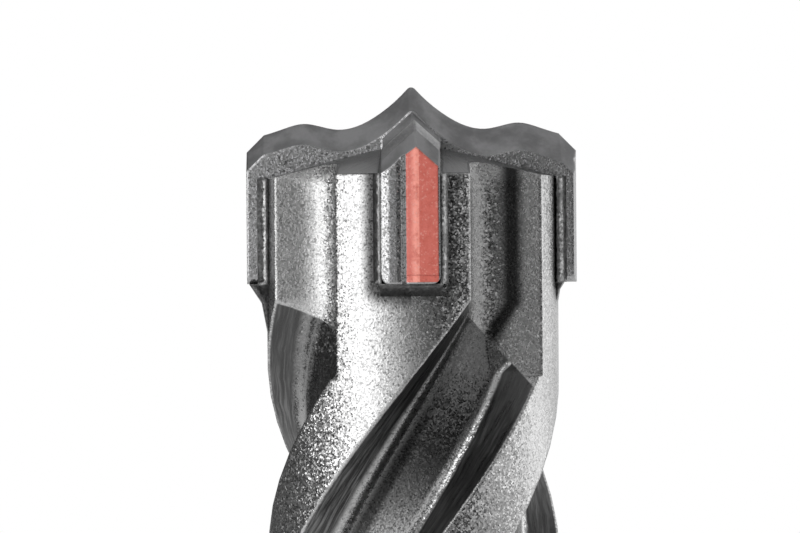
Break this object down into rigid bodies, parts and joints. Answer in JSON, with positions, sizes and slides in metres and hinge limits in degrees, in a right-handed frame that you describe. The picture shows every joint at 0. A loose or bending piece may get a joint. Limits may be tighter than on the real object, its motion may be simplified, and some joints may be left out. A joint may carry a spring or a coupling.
{
  "type": "masonry drill bit",
  "caption": "Hammer-drill bit for masonry with a brazed cross of hard-metal cutting wings, a helically fluted steel body and a grooved round shank.",
  "frame": {"origin": "centre of the flat end face of the shank, which is the lowest face; the bit stands on it", "axes": "+Z along the drilling axis towards the tip; the main pair of cutting wings along X; the wing with the wear mark faces -Y"},
  "size_m": [0.025, 0.0251, 0.32],
  "materials": {
    "blasted_steel": "shot-blasted bare steel, ground bright on the head's cone",
    "hard_metal": "sintered, dark grey, satin",
    "braze": "dull silver filler metal",
    "mark_paint": "thin red paint"
  },
  "bodies": {
    "root": {"steel_body": "blasted_steel", "carbide_cutter": "hard_metal", "braze_joint": "braze", "wear_mark": "mark_paint"}
  },
  "joints": []
}
